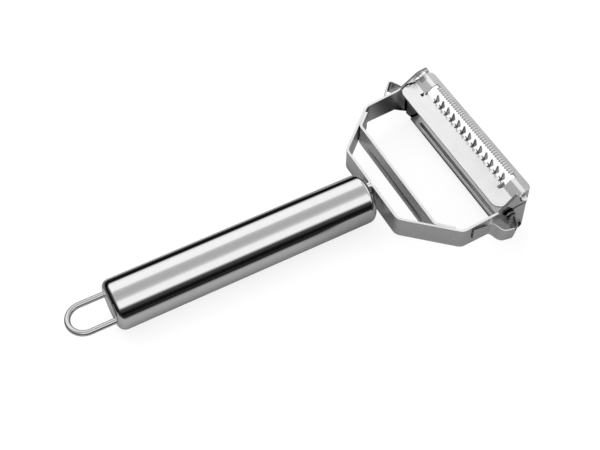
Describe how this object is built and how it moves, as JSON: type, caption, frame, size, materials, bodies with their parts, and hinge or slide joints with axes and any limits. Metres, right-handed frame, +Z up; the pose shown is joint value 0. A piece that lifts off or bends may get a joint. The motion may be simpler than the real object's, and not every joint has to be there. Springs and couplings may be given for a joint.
{
  "type": "vegetable peeler",
  "caption": "Double-sided steel vegetable peeler with a round tubular handle, a hanging loop, a bent strip frame with eye removers, and a swinging peeling and shredding blade unit.",
  "frame": {"origin": "centre of the bottom face of the bounding box, on the plane the tool lies on", "axes": "+X along the handle from the hanging loop towards the blades, +Y to the left, +Z up with the shredding blade on top"},
  "size_m": [0.1676, 0.0858, 0.0248],
  "materials": {
    "handle": "bright polished stainless steel",
    "loop_wire": "polished stainless steel wire",
    "frame_strip": "smooth satin stainless steel strip",
    "blade_steel": "bright fine-ground stainless steel sheet",
    "rivet": "plain stainless steel"
  },
  "bodies": {
    "frame": {"handle_tube": "handle", "front_cap": "handle", "rear_cap": "handle", "hanging_loop": "loop_wire", "left_frame": "frame_strip", "right_frame": "frame_strip", "crossbar": "frame_strip", "left_eye_remover": "frame_strip", "right_eye_remover": "frame_strip", "left_pivot_rivet": "rivet", "right_pivot_rivet": "rivet"},
    "blade_unit": {"shredding_blade": "blade_steel", "peeling_blade": "blade_steel", "left_blade_rivet": "rivet", "right_blade_rivet": "rivet"}
  },
  "joints": [
    {"name": "blade_swing", "type": "hinge", "parent": "frame", "child": "blade_unit", "pos_m": [0.07535, -0.00256, 0.0129], "axis": [0, 1, 0], "range_deg": [-4.5, 4.5]}
  ]
}
